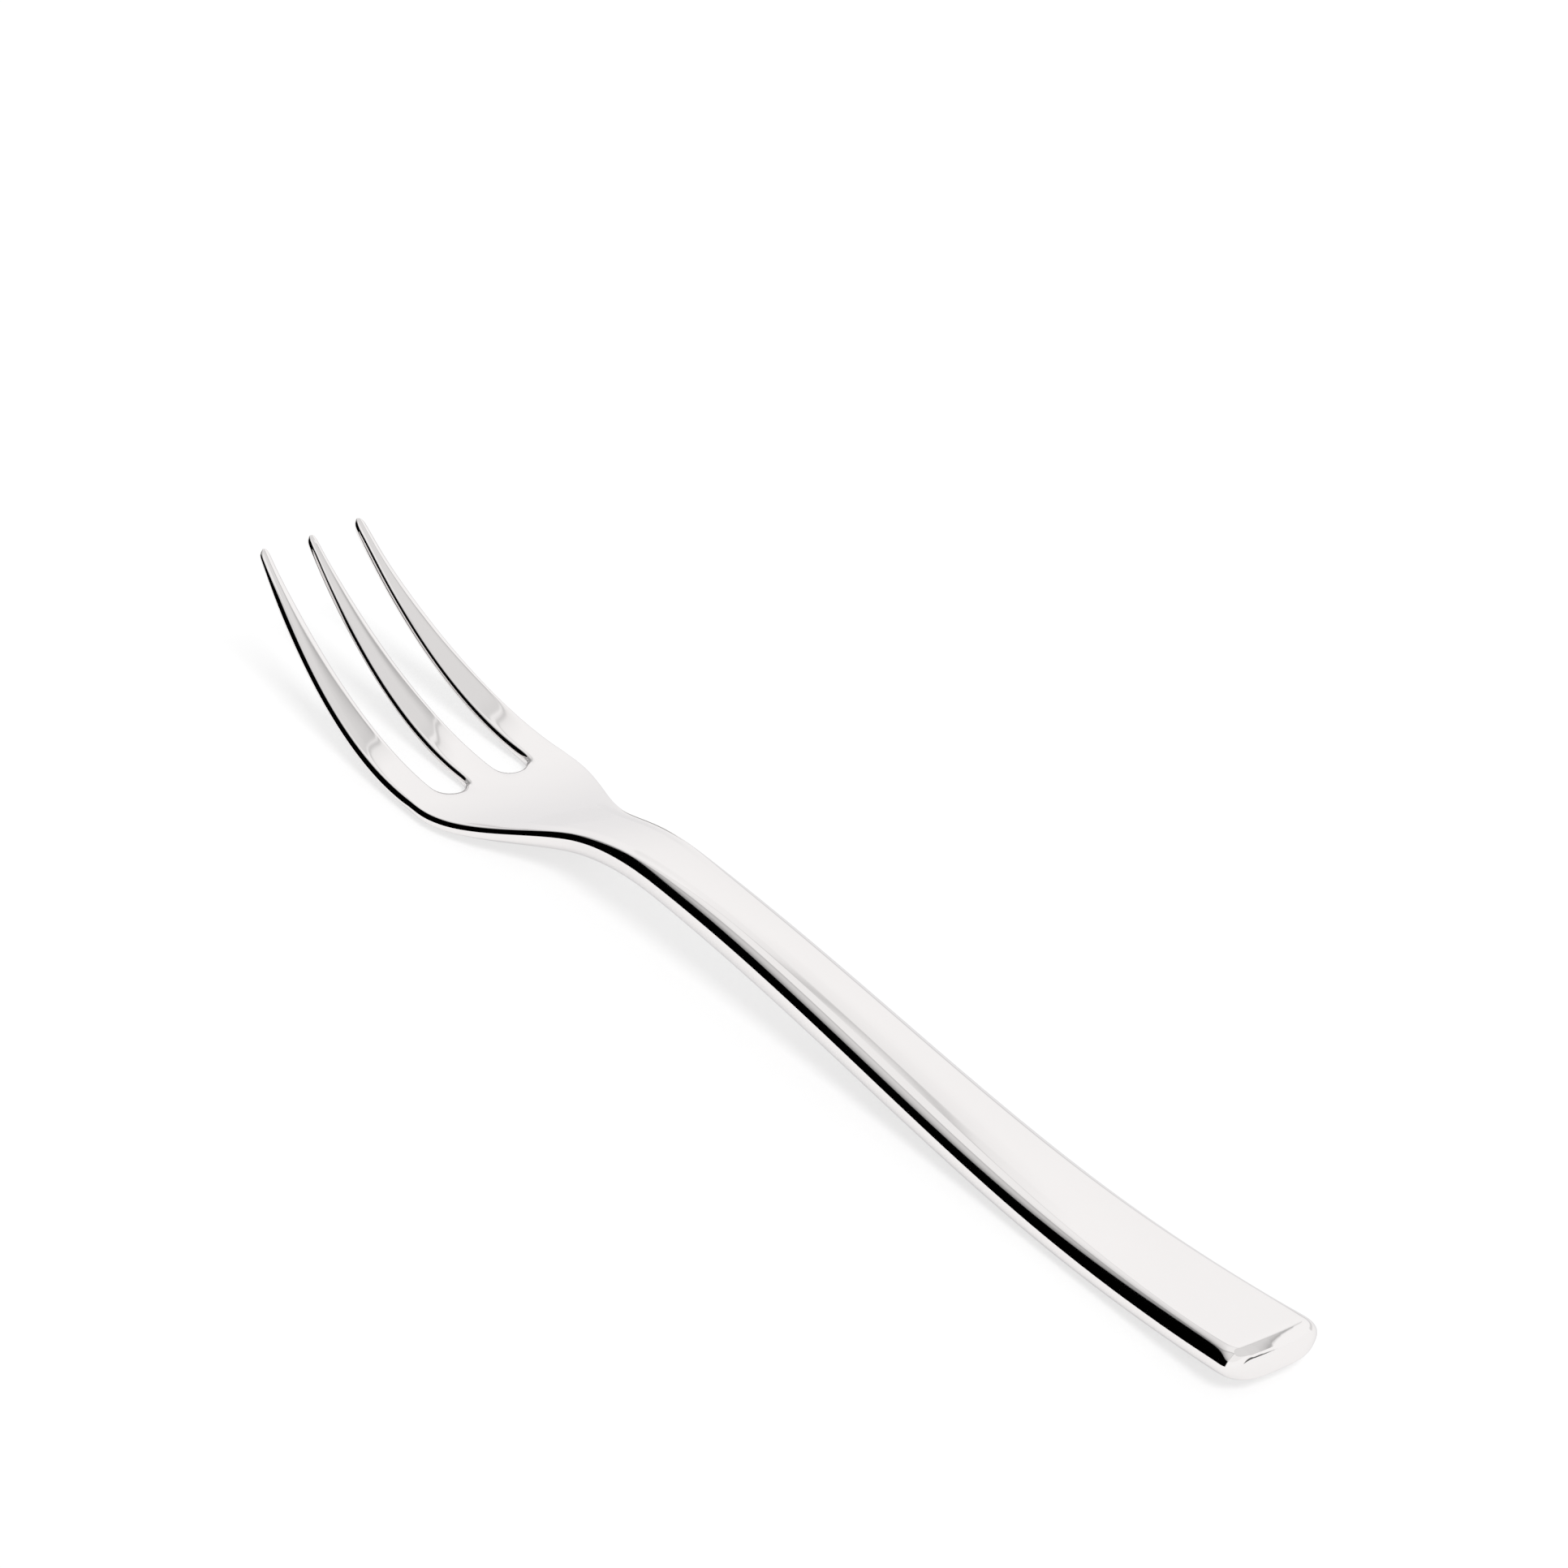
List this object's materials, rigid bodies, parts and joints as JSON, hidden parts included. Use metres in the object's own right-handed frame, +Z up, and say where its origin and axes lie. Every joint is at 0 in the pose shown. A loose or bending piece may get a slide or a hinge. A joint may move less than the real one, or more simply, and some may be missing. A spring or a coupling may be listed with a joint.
{
  "type": "fish fork",
  "caption": "Slim one-piece table fork for fish: flat-topped tapering handle with a square end, arched neck, soft shoulders and a small head of curved, rounded tines.",
  "frame": {"origin": "middle of the fork's box, on the table that it lies on with its tines up", "axes": "+X across the fork, +Y from the handle's end to the tips, +Z up from the table"},
  "size_m": [0.0212, 0.18, 0.0173],
  "materials": {
    "polished_steel": "mirror-polished stainless steel"
  },
  "bodies": {
    "root": {"fork": "polished_steel"}
  },
  "joints": []
}
